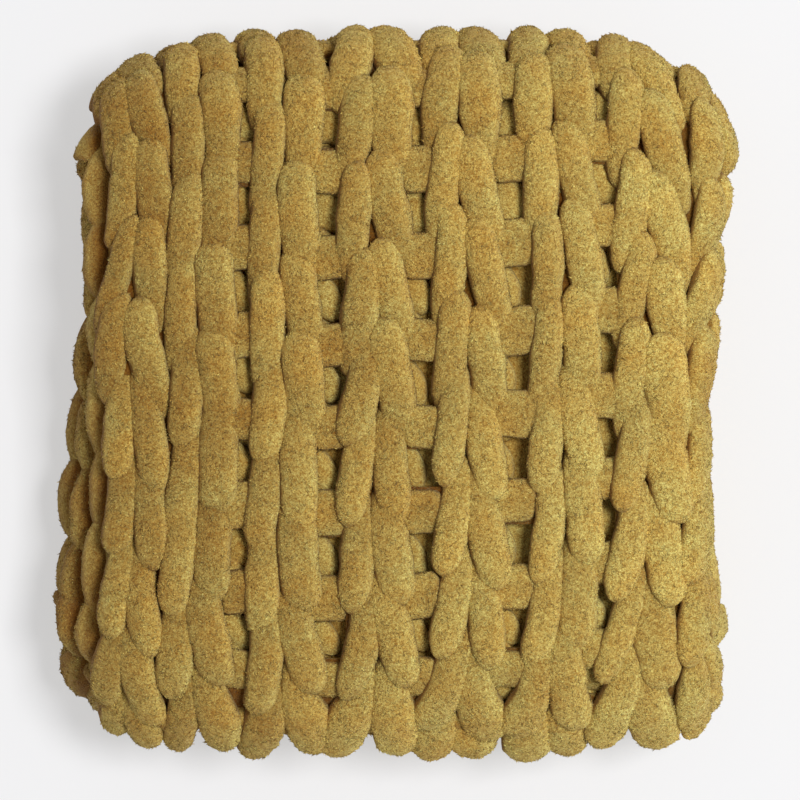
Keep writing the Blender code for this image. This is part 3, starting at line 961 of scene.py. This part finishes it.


# The yarn's finish. Each pattern has its grain, its detail, its curl and its two
# colours with where they begin; tips are the colours of the tone attribute, from the
# painted shade of deep yarn to the painted highlight of spike tips.
chenilleLook = {
    "roughness": 0.92,
    "specular": 0.15,
    "sheen": 0.35,
    "sheenRoughness": 0.45,
    "sheenTint": (1.0, 0.84, 0.42, 1),
    "lean": (0.20, -0.20, 0),
    "patches": {
        "grain": (38, 2.5, 0.0),
        "colours": [(0.32, (0.580, 0.336, 0.062, 1)), (0.68, (0.592, 0.416, 0.098, 1))],
    },
    "mottle": {
        "grain": (270, 3.0, 1.8),
        "colours": [(0.32, (0.80, 0.70, 0.57, 1)), (0.68, (1.10, 1.18, 1.26, 1))],
    },
    "speck": {
        "grain": (950, 2.0, 1.5),
        "colours": [(0.36, (0.66, 0.505, 0.33, 1)), (0.64, (1.32, 1.47, 1.80, 1))],
    },
    "tips": [(0.0, (0.38, 0.235, 0.108, 1)), (1.0, (1.74, 2.02, 2.30, 1))],
    "bumpGrain": (700, 2.0, 1.5),
    "bumpStrength": 0.9,
    "bumpHeight": 0.0017,
}


def chenilleMaterial():
    look = chenilleLook
    material = bpy.data.materials.new("mustardChenille")
    material.use_nodes = True
    nodes, links = material.node_tree.nodes, material.node_tree.links
    shader = nodes["Principled BSDF"]
    shader.inputs["Roughness"].default_value = look["roughness"]
    shader.inputs["Specular IOR Level"].default_value = look["specular"]
    shader.inputs["Sheen Weight"].default_value = look["sheen"]
    shader.inputs["Sheen Roughness"].default_value = look["sheenRoughness"]
    shader.inputs["Sheen Tint"].default_value = look["sheenTint"]
    place = nodes.new("ShaderNodeTexCoord")

    def noise(scale, detail, curl):
        node = nodes.new("ShaderNodeTexNoise")
        node.inputs["Scale"].default_value = scale
        node.inputs["Detail"].default_value = detail
        node.inputs["Distortion"].default_value = curl
        links.new(place.outputs["Object"], node.inputs["Vector"])
        return node.outputs["Fac"]

    def ramp(fac, stops):
        node = nodes.new("ShaderNodeValToRGB")
        links.new(fac, node.inputs["Fac"])
        for stop, (at, colour) in zip(node.color_ramp.elements, stops):
            stop.position = at
            stop.color = colour
        return node.outputs["Color"]

    def multiply(a, b):
        node = nodes.new("ShaderNodeMix")
        node.data_type = "RGBA"
        node.blend_type = "MULTIPLY"
        node.inputs["Factor"].default_value = 1.0
        links.new(a, node.inputs["A"])
        links.new(b, node.inputs["B"])
        return node.outputs["Result"]

    # Warm and yellow patches: the nap turns to the yellow side from the back left
    # corner to the front right one
    across = nodes.new("ShaderNodeVectorMath")
    across.operation = "DOT_PRODUCT"
    links.new(place.outputs["Object"], across.inputs[0])
    across.inputs[1].default_value = look["lean"]
    turned = nodes.new("ShaderNodeMath")
    turned.operation = "ADD"
    links.new(noise(*look["patches"]["grain"]), turned.inputs[0])
    links.new(across.outputs["Value"], turned.inputs[1])
    colour = ramp(turned.outputs["Value"], look["patches"]["colours"])
    for pattern in (look["mottle"], look["speck"]):
        colour = multiply(colour, ramp(noise(*pattern["grain"]), pattern["colours"]))
    # The tone attribute carries painted highlight and painted shade as well as each strand's own
    # tone
    tone = nodes.new("ShaderNodeAttribute")
    tone.attribute_name = "tone"
    colour = multiply(colour, ramp(tone.outputs["Fac"], look["tips"]))
    links.new(colour, shader.inputs["Base Color"])
    bump = nodes.new("ShaderNodeBump")
    bump.inputs["Strength"].default_value = look["bumpStrength"]
    bump.inputs["Distance"].default_value = look["bumpHeight"]
    links.new(noise(*look["bumpGrain"]), bump.inputs["Height"])
    links.new(bump.outputs["Normal"], shader.inputs["Normal"])
    return material


# How finely each group of strands is made: rings, sides and unevenness
strandDetail = {
    "topStitches": (22, 24, 0.08),
    "sideStitches": (14, 14, 0.07),
    "edgeStitches": (14, 14, 0.09),
    "ladderRungs": (14, 14, 0.05),
    "purlBars": (10, 10, 0.05),
}


def buildThrow():
    chenille = chenilleMaterial()
    points, triangles, tone = groundSheet()
    base = addPiece("knitGround", points, triangles, tone, chenille)
    print("ground", len(triangles), "faces")
    groups = {
        "topStitches": topStitches(),
        "sideStitches": sideStitches(),
        "edgeStitches": edgeLegs(),
        "ladderRungs": ladderRungs(),
        "purlBars": purlBars(),
    }
    groups["edgeStitches"] += endRow(True)
    yarn = {}
    for name, paths in groups.items():
        yarn[name] = strandMesh(paths, *strandDetail[name])
        points, triangles, tone, _ = yarn[name]
        addPiece(name, points, triangles, tone, chenille)
        print(name, len(paths), "strands,", len(triangles), "faces")
    for batch in range(nap["batches"]):
        layPile(f"shortPile{batch + 1}", yarn, chenille)
    print("pile laid on the yarn")


def layPile(name, yarn, material):
    # One piece of pile, spread over all the yarn that carries any
    points, faces, shades = [], [], []
    count = 0
    for group, part in nap["share"].items():
        spikes, four, shade = pileSpikes(*yarn[group], round(nap["perPiece"] * part))
        points.append(spikes)
        faces.append(four + count)
        shades.append(shade)
        count += len(spikes)
    points, faces = np.concatenate(points), np.concatenate(faces)
    addPiece(name, points, faces, np.concatenate(shades), material)


# A pale floor that glows a little, one soft light high at the right, and a camera
# straight above
floorLook = {"size": 8.0, "colour": (0.43, 0.43, 0.442, 1), "glow": 0.475, "roughness": 0.95}
studio = {"keyPower": 72, "keySize": 0.8, "keyPlace": (0.98, 0.15, 3.1), "world": 0.38}
camera = {
    "imageWidth": 800,
    "metresPerPixel": 0.000588,
    "middle": (0.0036, -0.0085),
    "lens": 190,
    "sensor": 36,
    "topPlane": 0.135,
    "clipEnd": 20,
}


def stageAndLight():
    bpy.ops.mesh.primitive_plane_add(size=floorLook["size"], location=(0, 0, 0))
    floor = bpy.context.object
    floor.name = "floor"
    paper = bpy.data.materials.new("palePaper")
    paper.use_nodes = True
    shader = paper.node_tree.nodes["Principled BSDF"]
    shader.inputs["Base Color"].default_value = floorLook["colour"]
    shader.inputs["Roughness"].default_value = floorLook["roughness"]
    shader.inputs["Emission Color"].default_value = (1, 1, 1, 1)
    shader.inputs["Emission Strength"].default_value = floorLook["glow"]
    floor.data.materials.append(paper)
    floor.select_set(False)
    world = bpy.data.worlds.new("studio")
    world.use_nodes = True
    world.node_tree.nodes["Background"].inputs["Strength"].default_value = studio["world"]
    world.node_tree.nodes["Background"].inputs["Color"].default_value = (1, 1, 1, 1)
    bpy.context.scene.world = world
    bpy.ops.object.light_add(type="AREA", location=studio["keyPlace"])
    key = bpy.context.object
    key.data.energy = studio["keyPower"]
    key.data.size = studio["keySize"]
    key.rotation_euler = key.location.to_track_quat("Z", "Y").to_euler()
    key.select_set(False)
    bpy.context.scene.view_settings.view_transform = "Standard"


def placeCamera():
    width = camera["imageWidth"] * camera["metresPerPixel"]
    away = width * camera["lens"] / camera["sensor"]
    bpy.ops.object.camera_add(location=(*camera["middle"], camera["topPlane"] + away))
    view = bpy.context.object
    view.rotation_euler = (0, 0, 0)
    view.data.lens = camera["lens"]
    view.data.sensor_width = camera["sensor"]
    view.data.clip_end = camera["clipEnd"]
    view.data.dof.use_dof = False
    view.select_set(False)
    bpy.context.scene.camera = view


stageAndLight()
placeCamera()
print("camera and light placed")
buildThrow()
